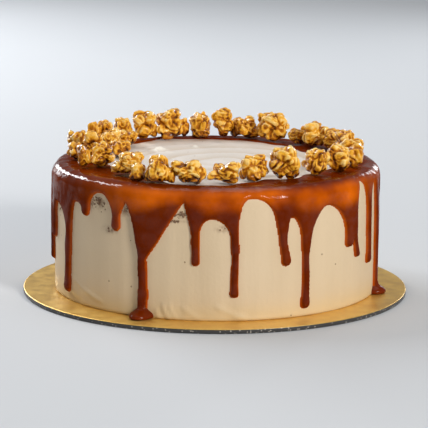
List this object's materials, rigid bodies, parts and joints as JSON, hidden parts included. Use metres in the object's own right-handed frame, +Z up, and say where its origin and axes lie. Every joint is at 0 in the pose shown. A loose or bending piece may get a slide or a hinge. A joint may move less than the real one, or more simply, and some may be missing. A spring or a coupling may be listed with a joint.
{
  "type": "caramel popcorn cake",
  "caption": "Round frosted drip cake on a thin gold board: caramel runs over its rounded top edge and down the side, and a ring of caramel popcorn lies on top.",
  "frame": {"origin": "centre of the underside of the cake board", "axes": "+Z up through the middle of the cake, -Y towards the front shown in the picture, +X to its right"},
  "size_m": [0.254, 0.254, 0.1091],
  "materials": {
    "gold_board": "satin gold foil on card",
    "frosting": "smooth tan buttercream",
    "caramel": "glossy set caramel",
    "caramel_popcorn": "glossy caramel glaze"
  },
  "bodies": {
    "root": {"cake_board": "gold_board", "frosted_cake": "frosting", "caramel_drip": "caramel", "popcorn_01": "caramel_popcorn", "popcorn_02": "caramel_popcorn", "popcorn_03": "caramel_popcorn", "popcorn_04": "caramel_popcorn", "popcorn_05": "caramel_popcorn", "popcorn_06": "caramel_popcorn", "popcorn_07": "caramel_popcorn", "popcorn_08": "caramel_popcorn", "popcorn_09": "caramel_popcorn", "popcorn_10": "caramel_popcorn", "popcorn_11": "caramel_popcorn", "popcorn_12": "caramel_popcorn", "popcorn_13": "caramel_popcorn", "popcorn_14": "caramel_popcorn", "popcorn_15": "caramel_popcorn", "popcorn_16": "caramel_popcorn", "popcorn_17": "caramel_popcorn", "popcorn_18": "caramel_popcorn", "popcorn_19": "caramel_popcorn", "popcorn_20": "caramel_popcorn", "popcorn_21": "caramel_popcorn", "popcorn_22": "caramel_popcorn", "popcorn_23": "caramel_popcorn", "popcorn_24": "caramel_popcorn", "popcorn_25": "caramel_popcorn", "popcorn_26": "caramel_popcorn", "popcorn_27": "caramel_popcorn", "popcorn_28": "caramel_popcorn", "popcorn_29": "caramel_popcorn", "popcorn_30": "caramel_popcorn", "popcorn_31": "caramel_popcorn", "popcorn_32": "caramel_popcorn", "popcorn_33": "caramel_popcorn", "popcorn_34": "caramel_popcorn", "popcorn_35": "caramel_popcorn", "popcorn_36": "caramel_popcorn", "popcorn_37": "caramel_popcorn"}
  },
  "joints": []
}
